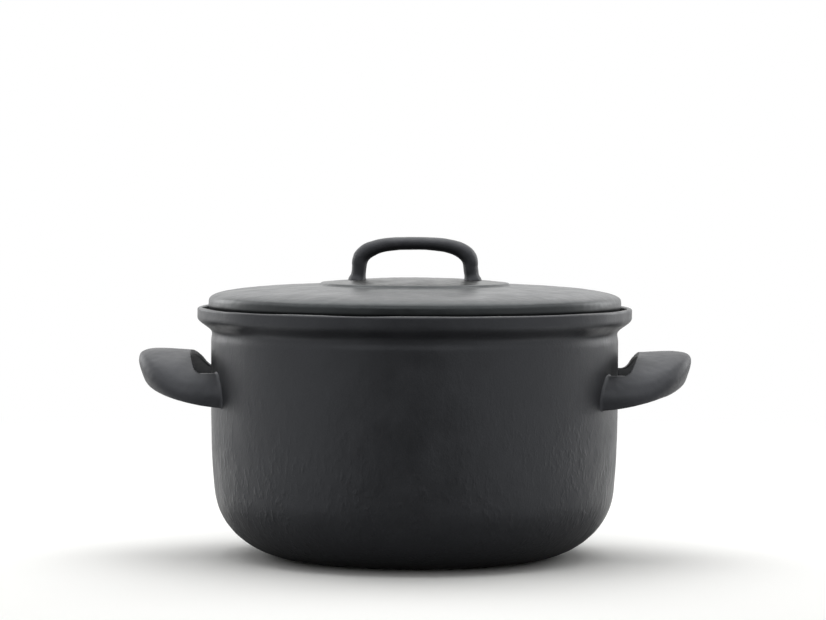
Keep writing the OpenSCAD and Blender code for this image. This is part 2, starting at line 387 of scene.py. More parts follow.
@dataclass(frozen=True)
class SatinEnamel:
    """Satin black enamel, sprayed and fired on a sand-cast wall.

    The glaze is thin and full of fine grain, so it has a broad soft sheen and no mirror image. It is a
    little greyer where it lies thin on the tops of the grain. Sizes are in millimetres, and a field that
    ends in where is the range of the noise over which its effect sets in.
    """

    name: str
    glaze: str = "#101114"
    thin_glaze: str = "#191a1d"
    roughness: Pair = (0.38, 0.5)
    sheen_tint: str = "#f5f8ff"
    grain: float = 1.1
    grain_depth: float = 0.07
    mottle: float = 16.0
    thin_where: Pair = (0.12, 0.42)
    rough_where: Pair = (0.3, 0.7)

    def tint(self, tree: Tree, where: Socket, colour: Socket) -> Socket:
        """The colour with the wear of one piece in it. Plain enamel has none."""
        return colour

    def dented(self, tree: Tree, where: Socket, grain: Socket) -> Socket:
        """The normal of the surface with its fine grain."""
        return add_node(tree, "Bump", {}, {
            "Strength": 1.0, "Distance": self.grain_depth * MM, "Height": grain}).outputs["Normal"]

    def material(self) -> bpy.types.Material:
        """Makes the node material of this finish.

        Returns:
            The material, whose colour and roughness follow a fine grain and a broad mottle.
        """
        made = bpy.data.materials.new(self.name)
        tree = emptied(made)
        where = add_node(tree, "TexCoord").outputs["Object"]
        # Real grain is finer than a pixel of the picture, so it is drawn at about two pixels
        grain = add_node(tree, "TexNoise", {}, {
            "Vector": where, "Scale": 1 / (self.grain * MM), "Detail": 3.0, "Roughness": 0.6}).outputs["Fac"]
        mottle = add_node(tree, "TexNoise", {}, {
            "Vector": where, "Scale": 1 / (self.mottle * MM), "Detail": 4.0, "Roughness": 0.55}).outputs["Fac"]
        thin = add_node(tree, "Math", {"operation": "MULTIPLY"}, {0: grain, 1: mottle})
        share = add_node(tree, "MapRange", {}, {
            "Value": thin.outputs[0], "From Min": self.thin_where[0],
            "From Max": self.thin_where[1]}).outputs["Result"]
        colour = add_node(tree, "Mix", {"data_type": "RGBA"}, {
            0: share, 6: linear(self.glaze), 7: linear(self.thin_glaze)}).outputs[2]
        rough = add_node(tree, "MapRange", {}, {
            "Value": mottle, "From Min": self.rough_where[0], "From Max": self.rough_where[1],
            "To Min": self.roughness[0], "To Max": self.roughness[1]}).outputs["Result"]
        shader = add_node(tree, "BsdfPrincipled", {}, {
            "Base Color": self.tint(tree, where, colour), "Roughness": rough, "IOR": 1.5,
            "Specular Tint": linear(self.sheen_tint), "Normal": self.dented(tree, where, grain)})
        add_node(tree, "OutputMaterial", {}, {"Surface": shader.outputs[0]})
        return made


@dataclass(frozen=True)
class LidEnamel(SatinEnamel):
    """The same enamel on the lid, browner and rubbed dull on the raised disc."""

    rubbed: str = "#1e1d1b"
    disc_r: float = 55.5
    disc_z: float = 161.5
    fade_r: float = 3.0
    fade_z: float = 0.5

    def tint(self, tree: Tree, where: Socket, colour: Socket) -> Socket:
        """Mixes in the rubbed colour within the disc's radius and above its edge.

        Args:
            tree: The material's node tree.
            where: Object coordinates.
            colour: The enamel's own colour.

        Returns:
            The colour with the rub in it.
        """
        apart = add_node(tree, "SeparateXYZ", {}, {0: where})
        flat = add_node(tree, "CombineXYZ", {}, {0: apart.outputs[0], 1: apart.outputs[1]})
        radius = add_node(tree, "VectorMath", {"operation": "LENGTH"}, {0: flat.outputs[0]}).outputs["Value"]
        near = add_node(tree, "MapRange", {}, {
            "Value": radius, "From Min": self.disc_r * MM,
            "From Max": (self.disc_r - self.fade_r) * MM}).outputs["Result"]
        high = add_node(tree, "MapRange", {}, {
            "Value": apart.outputs[2], "From Min": self.disc_z * MM,
            "From Max": (self.disc_z + self.fade_z) * MM}).outputs["Result"]
        share = add_node(tree, "Math", {"operation": "MULTIPLY"}, {0: near, 1: high}).outputs[0]
        return add_node(tree, "Mix", {"data_type": "RGBA"}, {
            0: share, 6: colour, 7: linear(self.rubbed)}).outputs[2]


@dataclass(frozen=True)
class BodyEnamel(SatinEnamel):
    """The same enamel on the body, with the sand's dents low on the wall and a grey rim of wear and painted
    highlight.

    The dents are about 3 mm wide and a little under twice as tall, as sand that slid down a mould leaves
    them. The rim's top is a lighter grey in chips about 3 mm long: partly wear where the lid knocks it, and
    partly a painted highlight that stands in for the light on its rounded edge.
    """

    # Lighter grey of the rim's top: partly wear, partly a painted highlight of its rounded edge
    worn_and_highlight: str = "#4c4c4a"
    rim_z: float = 147.5
    rim_fade: float = 0.3
    chip: float = 3.0
    chip_where: Pair = (0.4, 0.62)
    chip_least: float = 0.2
    dent: float = 3.2
    dent_tall: float = 1.7
    dent_depth: float = 0.24
    dent_where: Pair = (0.42, 0.8)
    dent_z: Pair = (112.0, 30.0)
    dent_least: float = 0.15
    patch: float = 26.0
    patch_where: Pair = (0.35, 0.65)
    patch_share: Pair = (0.35, 1.3)

    def tint(self, tree: Tree, where: Socket, colour: Socket) -> Socket:
        """Mixes in a lighter grey in chips above a height just under the rim's top: wear, and a painted
        highlight of the rim's edge.

        Args:
            tree: The material's node tree.
            where: Object coordinates.
            colour: The enamel's own colour.

        Returns:
            The colour with the wear and the painted highlight in it.
        """
        high = add_node(tree, "SeparateXYZ", {}, {0: where}).outputs[2]
        share = add_node(tree, "MapRange", {}, {
            "Value": high, "From Min": (self.rim_z - self.rim_fade) * MM,
            "From Max": (self.rim_z + self.rim_fade) * MM})
        chips = add_node(tree, "TexNoise", {}, {
            "Vector": where, "Scale": 1 / (self.chip * MM), "Detail": 2.0}).outputs["Fac"]
        chipped = add_node(tree, "MapRange", {}, {
            "Value": chips, "From Min": self.chip_where[0], "From Max": self.chip_where[1],
            "To Min": self.chip_least, "To Max": 1.0})
        # Painted highlight, partly real wear: the rim's top edge goes lighter grey in chips
        worn_and_highlight = add_node(tree, "Math", {"operation": "MULTIPLY"}, {
            0: share.outputs["Result"], 1: chipped.outputs["Result"]}).outputs[0]
        return add_node(tree, "Mix", {"data_type": "RGBA"}, {
            0: worn_and_highlight, 6: colour, 7: linear(self.worn_and_highlight)}).outputs[2]

    def dented(self, tree: Tree, where: Socket, grain: Socket) -> Socket:
        """The normal with the grain and the dents.

        The dents are the tops of a noise that is stretched upright, deeper lower down and in patches.

        Args:
            tree: The material's node tree.
            where: Object coordinates.
            grain: Height of the fine grain.

        Returns:
            The normal.
        """
        tall = add_node(tree, "Mapping", {}, {
            "Vector": where, "Scale": (1.0, 1.0, 1 / self.dent_tall)}).outputs[0]
        lumps = add_node(tree, "TexNoise", {}, {
            "Vector": tall, "Scale": 1 / (self.dent * MM), "Detail": 2.0, "Roughness": 0.5}).outputs["Fac"]
        tops = add_node(tree, "MapRange", {"interpolation_type": "SMOOTHSTEP"}, {
            "Value": lumps, "From Min": self.dent_where[0], "From Max": self.dent_where[1]}).outputs["Result"]
        height = add_node(tree, "SeparateXYZ", {}, {0: where}).outputs[2]
        low = add_node(tree, "MapRange", {"interpolation_type": "SMOOTHSTEP"}, {
            "Value": height, "From Min": self.dent_z[0] * MM, "From Max": self.dent_z[1] * MM,
            "To Min": self.dent_least, "To Max": 1.0}).outputs["Result"]
        patch = add_node(tree, "TexNoise", {}, {
            "Vector": where, "Scale": 1 / (self.patch * MM), "Detail": 1.0}).outputs["Fac"]
        patchy = add_node(tree, "MapRange", {}, {
            "Value": patch, "From Min": self.patch_where[0], "From Max": self.patch_where[1],
            "To Min": self.patch_share[0], "To Max": self.patch_share[1]}).outputs["Result"]
        lower = add_node(tree, "Math", {"operation": "MULTIPLY"}, {0: low, 1: patchy}).outputs[0]
        depth = add_node(tree, "Math", {"operation": "MULTIPLY"}, {0: tops, 1: lower}).outputs[0]
        under = add_node(tree, "Bump", {}, {
            "Strength": 1.0, "Distance": self.dent_depth * MM, "Height": depth}).outputs["Normal"]
        return add_node(tree, "Bump", {}, {
            "Strength": 1.0, "Distance": self.grain_depth * MM, "Height": grain,
            "Normal": under}).outputs["Normal"]


def dress(piece: bpy.types.Object, material: bpy.types.Material, node: str) -> bpy.types.Object:
    """Gives a piece its finish and ties it to the frame.

    Args:
        piece: The finished piece.
        material: Its material.
        node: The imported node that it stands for.

    Returns:
        The piece.
    """
    piece.data.materials.append(material)
    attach(piece, "root")
    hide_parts(node)
    LOG.info("%s: %d vertices, %d faces", piece.name, len(piece.data.vertices), len(piece.data.polygons))
    return piece


# ---- The pot


@dataclass
class PotBody:
    """The cast body: a drawn-in wall with a round corner, a neck, a swelling collar and a seat for the lid.

    The fields that end in gap are the distances between points on each stretch of the profile, and the last
    block says where and how deep the casting is uneven.
    """

    body_r: float = 121.25
    base_r: float = 74.5
    height: float = 148.0
    wall_t: float = 3.5
    base_t: float = 4.5
    corner_h: float = 38.0
    belly_in: float = 12.0
    belly_power: float = 4.9
    corner_power: float = 2.1
    neck_z: float = 132.6
    neck_run: float = 5.0
    neck_in: float = 0.5
    swell_h: float = 9.4
    collar_out: float = 8.4
    collar_t: float = 3.7
    ledge_depth: float = 6.5
    rim_r: float = 1.4
    columns: int = 450
    corner_points: int = 120
    wall_points: int = 100
    bend_points: int = 30
    wall_gap: float = 1.6
    neck_gap: float = 1.0
    swell_gap: float = 0.9
    rim_gap: float = 0.35
    ledge_gap: float = 1.2
    inside_gap: float = 5.5
    base_gap: float = 7.0

    peel: Relief = Relief(9.0, 0.03, (1, 1, 1.2), seed=11)
    dents: Relief = Relief(24.0, 0.045, seed=12)
    wander: Relief = Relief(60.0, 0.12, (1, 1, 0.5), seed=13)
    dented_by: float = 0.1
    wander_by: float = 0.14
    skin: Pair = (-5.5, -3.0)
    foot_z: Pair = (0.0, 2.5)
    dented_z: Pair = (70.0, 125.0)
    upper_share: float = 0.28
    wander_z: Pair = (120.0, 134.0)
    handle_half: Pair = (53.0, 19.0)
    handle_z: float = 106.0
    handle_x: float = 70.0
    handle_clear: Pair = (3.0, 16.0)

    def wall_r(self, z: np.ndarray) -> np.ndarray:
        """Radius of the wall: it draws in by a power of the depth, and by a superellipse in the corner.

        Args:
            z: Height above the base.

        Returns:
            The radius at each height.
        """
        belly = self.belly_in * np.clip(1 - z / self.neck_z, 0, 1) ** self.belly_power
        corner_w = self.body_r - self.belly_in - self.base_r
        return self.body_r - belly - corner_w * (1 - super_height(1 - z / self.corner_h, self.corner_power))

    def profile(self) -> np.ndarray:
        """The outline from the underside's centre, up the wall, over the rim and down the inside.

        The inside is the outside moved square to itself by the metal's thickness.

        Returns:
            Radius and height of each point.
        """
        top_z = self.neck_z - self.neck_run
        corner = self.corner_h * (1 - np.cos(np.linspace(0, np.pi / 2, self.corner_points)))
        z = np.concatenate([corner, np.linspace(self.corner_h, top_z, self.wall_points)[1:]])
        wall = np.stack([self.wall_r(z), z], -1)
        inward = square_to(wall)
        inward[0], inward[-1] = (0, 1), (-1, 0)
        metal = mix(self.base_t, self.wall_t, np.clip(z / self.corner_h, 0, 1))
        inside = (wall + metal[:, None] * inward)[::-1]
        s = np.linspace(0, 1, self.bend_points)[1:]
        neck_r = self.body_r - self.neck_in
        collar_r = self.body_r + self.collar_out
        seat_r = collar_r - self.collar_t
        ledge_z = self.height - self.ledge_depth
        neck = np.stack([mix(self.body_r, neck_r, ease(s)), top_z + self.neck_run * s], -1)
        swell = np.stack([mix(neck_r, collar_r, ease(s)), self.neck_z + self.swell_h * s], -1)
        outer_rim = arc((collar_r - self.rim_r, self.height - self.rim_r), self.rim_r, 0, 90)
        inner_rim = arc((seat_r + self.rim_r, self.height - self.rim_r), self.rim_r, 90, 180)
        ledge = np.array([[seat_r, ledge_z], [self.body_r - self.wall_t, ledge_z]])
        parts = [(np.array([[0.0, 0.0]]), self.base_gap), (wall, self.wall_gap), (neck, self.neck_gap),
                 (swell, self.swell_gap), (outer_rim, self.rim_gap), (inner_rim, self.rim_gap),
                 (ledge, self.ledge_gap), (inside, self.inside_gap),
                 (np.array([[0.0, self.base_t]]), self.base_gap)]
        return resampled(parts)

    def sunk(self, points: np.ndarray) -> np.ndarray:
        """Depth of the casting's dents.

        Broad dents and a fine orange peel on the wall, fainter towards the collar and none where a handle
        grows out of the wall, and a slow wander of the neck and the collar.

        Args:
            points: Places on the plain surface.

        Returns:
            The depth at each place, none on the inside and the underside.
        """
        x, y, z = points.T
        radius = np.hypot(x, y)
        outside = smooth_step(*self.skin, radius - self.wall_r(np.minimum(z, self.neck_z)))
        outside *= smooth_step(*self.foot_z, z)
        aside, over = np.abs(y) - self.handle_half[0], np.abs(z - self.handle_z) - self.handle_half[1]
        to_handle = np.hypot(np.maximum(aside, 0), np.maximum(over, 0))
        clear = np.where(np.abs(x) > self.handle_x, smooth_step(*self.handle_clear, to_handle), 1.0)
        low = mix(1.0, self.upper_share, smooth_step(*self.dented_z, z))
        dents = self.dented_by + self.peel.at(points) + self.dents.at(points)
        slow = self.wander_by + self.wander.at(points)
        return outside * clear * (low * dents + slow * smooth_step(*self.wander_z, z))

    def build(self, material: bpy.types.Material) -> bpy.types.Object:
        """Makes and dresses the body."""
        piece = turned("pot_body", self.profile(), self.columns, self.sunk)
        return dress(piece, material, "pot")


@dataclass
class SideHandle:
    """A hood cast on the wall, open underneath, with a vent between its crown and the wall.

    The second block of fields keeps the formulas steady at their ends, and the third is for the mesh.
    """

    side: Side
    body: PotBody
    reach: float = 43.5
    half_w: float = 50.5
    crown_z: float = 121.5
    hem_z: float = 90.0
    hem_rise: float = 12.8
    hem_power: float = 1.5
    shell_t: float = 3.0
    tip_drop: float = 5.6
    tip_h: float = 0.8
    lip_up: float = 4.5
    crown_power: float = 2.8
    nose_back: float = 5.0
    side_lean: float = 0.4
    side_skirt: float = 3.0
    vent_r: float = 133.05
    vent_z: float = 110.0
    vent_corner: float = 3.0
    fillet: float = 1.3
    nose_lift: float = 4.5
    lift_power: float = 10.0
    lean_power: float = 1.5
    hem_round: float = 1.25
    vent_round: float = 0.5
    nose_gap: float = 3.5

    tip_share: float = 0.999
    tip_pinch: float = 0.5
    pinch_power: float = 8.0
    least_arch: float = 0.4
    least_skirt: float = 1.0
    slope_step: float = 0.05
    feather: float = 0.04
    feather_slope: float = 0.3
    feather_start: float = 0.4
    root_depth: float = 1.7
    past_fillet: float = 1.0

    cell: float = 0.7
    low_room: Triple = (8.0, 6.0, 4.0)
    high_room: Triple = (2.0, 6.0, 4.0)
    passes: int = 2
    least_slope: float = 0.3
    longest_move: float = 0.4
    peel: Relief = Relief(6.5, 0.028, seed=21)
    ripple: Relief = Relief(26.0, 0.06, seed=22)
    sunk_by: float = 0.06

    def __post_init__(self) -> None:
        """Works out the places that follow from the sizes."""
        self.nose_x = self.body.body_r + self.nose_gap
        self.tip_x = self.body.body_r + self.reach
        self.tip_z = self.crown_z - self.tip_drop
        self.nose_run = self.tip_x - self.nose_x
        self.hem_x = math.sqrt(float(self.body.wall_r(np.array(self.hem_z))) ** 2 - self.half_w ** 2)
        self.wide_foot = float(self.hem_at(np.array(self.nose_x))) + self.side_skirt

    def hem_at(self, x: np.ndarray) -> np.ndarray:
        """Height of the hem: it rises by a low power of the distance from the wall, and by a high one."""
        q = np.clip((x - self.hem_x) / (self.tip_x - self.hem_x), 0, 1)
        return self.hem_z + self.hem_rise * q ** self.hem_power + self.nose_lift * q ** self.lift_power

    def crown_at(self, x: np.ndarray) -> np.ndarray:
        """Height of the crown: level, with a lift by the square of the reach, and a superellipse at the tip."""
        q = np.clip((x - self.body.body_r) / self.reach, 0, 1)
        return mix(self.tip_z + self.tip_h, self.crown_z + self.lip_up * q * q,
                   super_height(q, self.crown_power))

    def hood(self, points: np.ndarray, inset: float) -> np.ndarray:
        """Field of the filled hood, smaller by an inset all round, that is 0 on its surface.

        In plan it is half an ellipse. Above its widest line the section is an elliptical arch up to the
        crown, and below it the skirt leans in towards the hem.

        Args:
            points: Places in millimetres.
            inset: How much smaller it is.

        Returns:
            The field, negative inside.
        """
        x, y, z = np.moveaxis(points, -1, 0)
        run, half = self.nose_run - inset, self.half_w - inset
        s = np.clip((x - self.nose_x) / run, 0, self.tip_share)
        wide = mix(self.wide_foot, self.tip_z, s * s) - inset * self.tip_pinch * s ** self.pinch_power
        low = self.hem_at(x)
        top = np.maximum(self.crown_at(x) - inset, wide + self.least_arch)
        up = np.clip((z - low) / np.maximum(wide - low, self.least_skirt), 0, 1)
        lean = mix(self.side_lean, self.nose_back, s * s) * (1 - up) ** self.lean_power
        along = np.maximum(x - self.nose_x, 0) / (run - lean)
        across = y / (half - lean)
        above = np.maximum(z - wide, 0) / (top - wide)
        return np.sqrt(along ** 2 + across ** 2 + above ** 2 * (1 - s * s)) - 1

    def metal(self, points: np.ndarray) -> np.ndarray:
        """Distance to the handle's own metal: the hood less its hollow, cut at the hem and round the vent.

        Args:
            points: Places in millimetres.

        Returns:
            The distance, negative inside.
        """
        x, y, z = np.moveaxis(points, -1, 0)
        outer = as_distance(lambda p: self.hood(p, 0.0), points)
        hollow = as_distance(lambda p: self.hood(p, self.shell_t), points)
        shell = np.maximum(outer, -hollow)
        step = self.slope_step
        rise = (self.hem_at(x + step) - self.hem_at(x - step)) / (2 * step)
        hemmed = round_meet(shell, (self.hem_at(x) - z) / np.sqrt(1 + rise ** 2), self.hem_round)
        vent = round_join(self.vent_r - np.hypot(x, y), z - self.vent_z, self.vent_corner)
        return round_meet(hemmed, vent, self.vent_round)

    def field(self, points: np.ndarray) -> np.ndarray:
        """Distance to the piece: the handle's metal with its fillet on the wall.

        The piece ends a little way inside the wall and a little way past the fillet, where it dips below
        the wall's own surface.

        Args:
            points: Places in millimetres.

        Returns:
            The distance, negative inside.
        """
        x, y, z = np.moveaxis(points, -1, 0)
        metal = self.metal(points)
        wall = np.hypot(x, y) - self.body.wall_r(z)
        joined = round_join(metal, wall, self.fillet)
        past = np.maximum(0, metal - self.fillet + self.feather_start)
        feathered = joined + self.feather + self.feather_slope * past
        ends = np.maximum(-(wall + self.root_depth), metal - self.fillet - self.past_fillet)
        return np.maximum(feathered, ends)

    def build(self, material: bpy.types.Material) -> bpy.types.Object:
        """Makes and dresses the handle.

        The points of the grid's surface are moved along the field's slope until they lie on it, then sunk by
        the casting's unevenness. The left handle is the right one turned half round the pot's axis.

        Args:
            material: The finish.

        Returns:
            The handle.
        """
        low = np.array([self.hem_x, -self.half_w, self.hem_z]) - self.low_room
        high = np.array([self.tip_x, self.half_w, self.crown_z + self.lip_up]) + self.high_room
        counts = np.ceil((high - low) / self.cell).astype(int) + 1
        steps = [start + self.cell * np.arange(count) for start, count in zip(low, counts)]
        grid = np.stack(np.meshgrid(*steps, indexing="ij"), -1)
        points, faces = level_surface(self.field(grid), low, self.cell)
        for _ in range(self.passes):
            slope = slope_of(self.field, points)
            length = np.maximum(np.linalg.norm(slope, axis=1, keepdims=True), self.least_slope)
            move = np.clip(self.field(points)[:, None] / length, -self.longest_move, self.longest_move)
            points = points - move * slope / length
        outward = unit(slope_of(self.field, points))
        sunk = self.sunk_by + self.peel.at(points) + self.ripple.at(points)
        points = points - outward * np.maximum(0, sunk)[:, None]
        points = points * [self.side.value, self.side.value, 1]
        piece = new_piece(f"pot_handle_{self.side.name.lower()}", points, [faces])
        return dress(piece, material, "pot")


# ---- The lid


@dataclass
class LidShell:
    """The cast lid: an edge that leans in below, a low dome and a raised disc, hollow underneath.

    The fields that end in gap are the distances between points on each stretch of the profile, and the last
    block says where and how deep the casting is uneven.
    """

    lid_r: float = 122.95
    land_w: float = 5.0
    plate_t: float = 3.5
    seat_z: float = 141.5
    edge_z: float = 150.3
    lean: float = 0.75
    lean_h: float = 3.6
    rise: float = 11.6
    dome_power: float = 3.6
    disc_r: float = 55.5
    step_h: float = 1.5
    step_run: float = 2.2
    crown: float = 2.7
    foot_r: float = 0.8
    columns: int = 480
    under_points: int = 120
    bend_points: int = 20
    over_points: int = 300
    disc_points: int = 80
    under_gap: float = 4.5
    land_gap: float = 1.5
    foot_gap: float = 0.5
    over_gap: float = 1.1
    step_gap: float = 0.45
    disc_gap: float = 1.3

    peel: Relief = Relief(7.0, 0.03, seed=31)
    fine_peel: Relief = Relief(4.0, 0.01, seed=32)
    ripple: Relief = Relief(32.0, 0.04, seed=33)
    sunk_by: float = 0.14
    smooth_below: Pair = (-3.5, -2.0)
    skin: float = 2.0
    disc_rough: float = 1.6
    rough_edge: Pair = (1.0, -2.0)

    def dome_z(self, radius: np.ndarray) -> np.ndarray:
        """Height of the dome: a root of what the radius squared leaves, so upright at the edge."""
        return self.edge_z + self.rise * np.clip(1 - (radius / self.lid_r) ** 2, 0, 1) ** (1 / self.dome_power)

    def disc_z(self, radius: np.ndarray) -> np.ndarray:
        """Height of the disc: a shallow crown that falls with the square of the radius."""
        edge = self.dome_z(self.disc_r) + self.step_h
        return edge + self.crown * (1 - (radius / self.disc_r) ** 2)

    def profile(self) -> np.ndarray:
        """The outline from the underside's centre, down its foot, up the edge and over the top.

        Below its widest line the edge leans in by the square of the depth.

        Returns:
            Radius and height of each point.
        """
        land_r = self.lid_r - self.land_w
        radius = np.linspace(0, land_r, self.under_points)
        under = np.stack([radius, self.dome_z(radius) - self.plate_t], -1)
        land = np.array([[land_r, self.seat_z]])
        skirt_r = self.lid_r - self.lean
        foot = arc((skirt_r - self.foot_r, self.seat_z + self.foot_r), self.foot_r, -90, 0)
        s = np.linspace(0, 1, self.bend_points)
        edge = np.stack([self.lid_r - self.lean * (1 - s) ** 2, self.edge_z - self.lean_h * (1 - s)], -1)
        step_r = self.disc_r + self.step_run
        step_share = (1 - (step_r / self.lid_r) ** 2) ** (1 / self.dome_power)
        share = np.linspace(0, step_share, self.over_points)[1:]
        radius = self.lid_r * np.sqrt(1 - share ** self.dome_power)
        over = np.concatenate([edge, np.stack([radius, self.dome_z(radius)], -1)])
        s = s[1:]
        step_foot = over[-1]
        step = np.stack([step_foot[0] - self.step_run * s,
                         mix(step_foot[1], self.disc_z(np.array(self.disc_r)), ease(s))], -1)
        radius = np.linspace(self.disc_r, 0, self.disc_points)[1:]
        disc = np.stack([radius, self.disc_z(radius)], -1)
        parts = [(under, self.under_gap), (land, self.land_gap), (foot, self.foot_gap), (over, self.over_gap),
                 (step, self.step_gap), (disc, self.disc_gap)]
        return resampled(parts)

    def sunk(self, points: np.ndarray) -> np.ndarray:
        """Depth of the casting's dents: a broad ripple and orange peel on the dome, rougher on the disc.

        Args:
            points: Places on the plain surface.

        Returns:
            The depth at each place, none on the foot and the underside.
        """
        x, y, z = points.T
        radius = np.hypot(x, y)
        over = smooth_step(*self.smooth_below, z - self.edge_z)
        over *= z > self.dome_z(radius) - self.skin
        outer, inner = (self.disc_r + edge for edge in self.rough_edge)
        rough = mix(1.0, self.disc_rough, smooth_step(outer, inner, radius))
        peel = self.peel.at(points) + self.fine_peel.at(points)
        return over * (self.sunk_by + rough * peel + self.ripple.at(points))

    def build(self, material: bpy.types.Material) -> bpy.types.Object:
        """Makes and dresses the lid."""
        return dress(turned("lid_shell", self.profile(), self.columns, self.sunk), material, "lid")


@dataclass
class LidBow:
    """The bow: an oval bar carried up one leg, over a superellipse arch and down the other, on flared feet."""

    shell: LidShell
    width: float = 75.0
    rise: float = 25.46
    bar_t: float = 7.8
    leg_t: float = 8.8
    swell: float = 1.4
    spread: float = 1.2
    deep: float = 14.0
    shoulder_h: float = 13.5
    foot_out: float = 1.1
    foot_h: float = 3.6
    leg_power: float = 0.8
    arch_power: float = 2.6
    section_power: float = 2.4
    around: int = 72
    leg_points: int = 60
    arch_points: int = 400
    path_gap: float = 0.75
    lumps: Relief = Relief(9.0, 0.05, seed=41)
    peel: Relief = Relief(4.5, 0.02, seed=42)
    sunk_by: float = 0.08

    def build(self, material: bpy.types.Material) -> bpy.types.Object:
        """Makes and dresses the bow.

        A ring of the section stands square to the path: its first half axis is the bar's half thickness,
        which swells on the shoulders and flares at the feet, and its second is half the depth.

        Args:
            material: The finish.

        Returns:
            The bow.
        """
        leg_x = (self.width - self.leg_t) / 2
        foot_x = leg_x + self.spread
        foot_z = float(self.shell.disc_z(np.array(foot_x)))
        top_z = foot_z + self.rise
        shoulder_z = top_z - self.bar_t / 2 - self.shoulder_h
        z = np.linspace(foot_z - self.shell.plate_t / 2, shoulder_z, self.leg_points)
        up = np.clip((z - foot_z) / (shoulder_z - foot_z), 0, 1) ** self.leg_power
        leg = np.stack([-mix(foot_x, leg_x, up), z], -1)
        a = np.linspace(np.pi, 0, self.arch_points)
        arch = np.stack([leg_x * signed_power(np.cos(a), 2 / self.arch_power),
                         shoulder_z + self.shoulder_h * np.abs(np.sin(a)) ** (2 / self.arch_power)], -1)
        outline = np.concatenate([leg[:-1], arch, (leg * [-1, 1])[:-1][::-1]])
        path = resampled([(outline, self.path_gap)])
        square = square_to(path)
        s = np.clip((path[:, 1] - shoulder_z) / self.shoulder_h, 0, 1)
        flare = self.foot_out * np.clip(1 - np.maximum(path[:, 1] - foot_z, 0) / self.foot_h, 0, 1) ** 2
        thick = mix(self.leg_t, self.bar_t, s) / 2 + 2 * self.swell * s * (1 - s) + flare
        turn = np.linspace(0, 2 * np.pi, self.around, endpoint=False)
        u = thick[:, None] * signed_power(np.cos(turn), 2 / self.section_power)
        v = -(self.deep / 2 + flare)[:, None] * signed_power(np.sin(turn), 2 / self.section_power)
        points = np.stack([path[:, :1] + square[:, :1] * u, v, path[:, 1:] + square[:, 1:] * u], -1)
        around = np.roll(points, -1, 1) - np.roll(points, 1, 1)
        along = np.gradient(points, axis=0)
        outward = unit(np.cross(around, along))
        flat = points.reshape(-1, 3)
        sunk = self.sunk_by + self.lumps.at(flat) + self.peel.at(flat)
        flat = flat - outward.reshape(-1, 3) * np.maximum(0, sunk)[:, None]
        ends = np.array([[path[0, 0], 0, path[0, 1]], [path[-1, 0], 0, path[-1, 1]]])
        flat = np.concatenate([ends[:1], flat, ends[1:]])
        return dress(new_piece("lid_bow", flat, tube_faces(len(path), self.around)), material, "lid")


# ---- The studio


@dataclass(frozen=True)
class Lamp:
    """A soft rectangular lamp: its place, the point it faces and its size in metres, and its power in watts."""

    name: str
    place: Triple
    aim: Triple
    size: Pair
    power: float

    def build(self) -> None:
        """Adds the lamp, out of the camera's sight."""
        data = bpy.data.lights.new(self.name, "AREA")
        data.shape = "RECTANGLE"
        data.size, data.size_y = self.size
        data.energy = self.power
        lamp = bpy.data.objects.new(self.name, data)
        lamp.location = self.place
        lamp.rotation_euler = (Vector(self.aim) - Vector(self.place)).to_track_quat("-Z", "Y").to_euler()
        lamp.visible_camera = False
        bpy.context.scene.collection.objects.link(lamp)


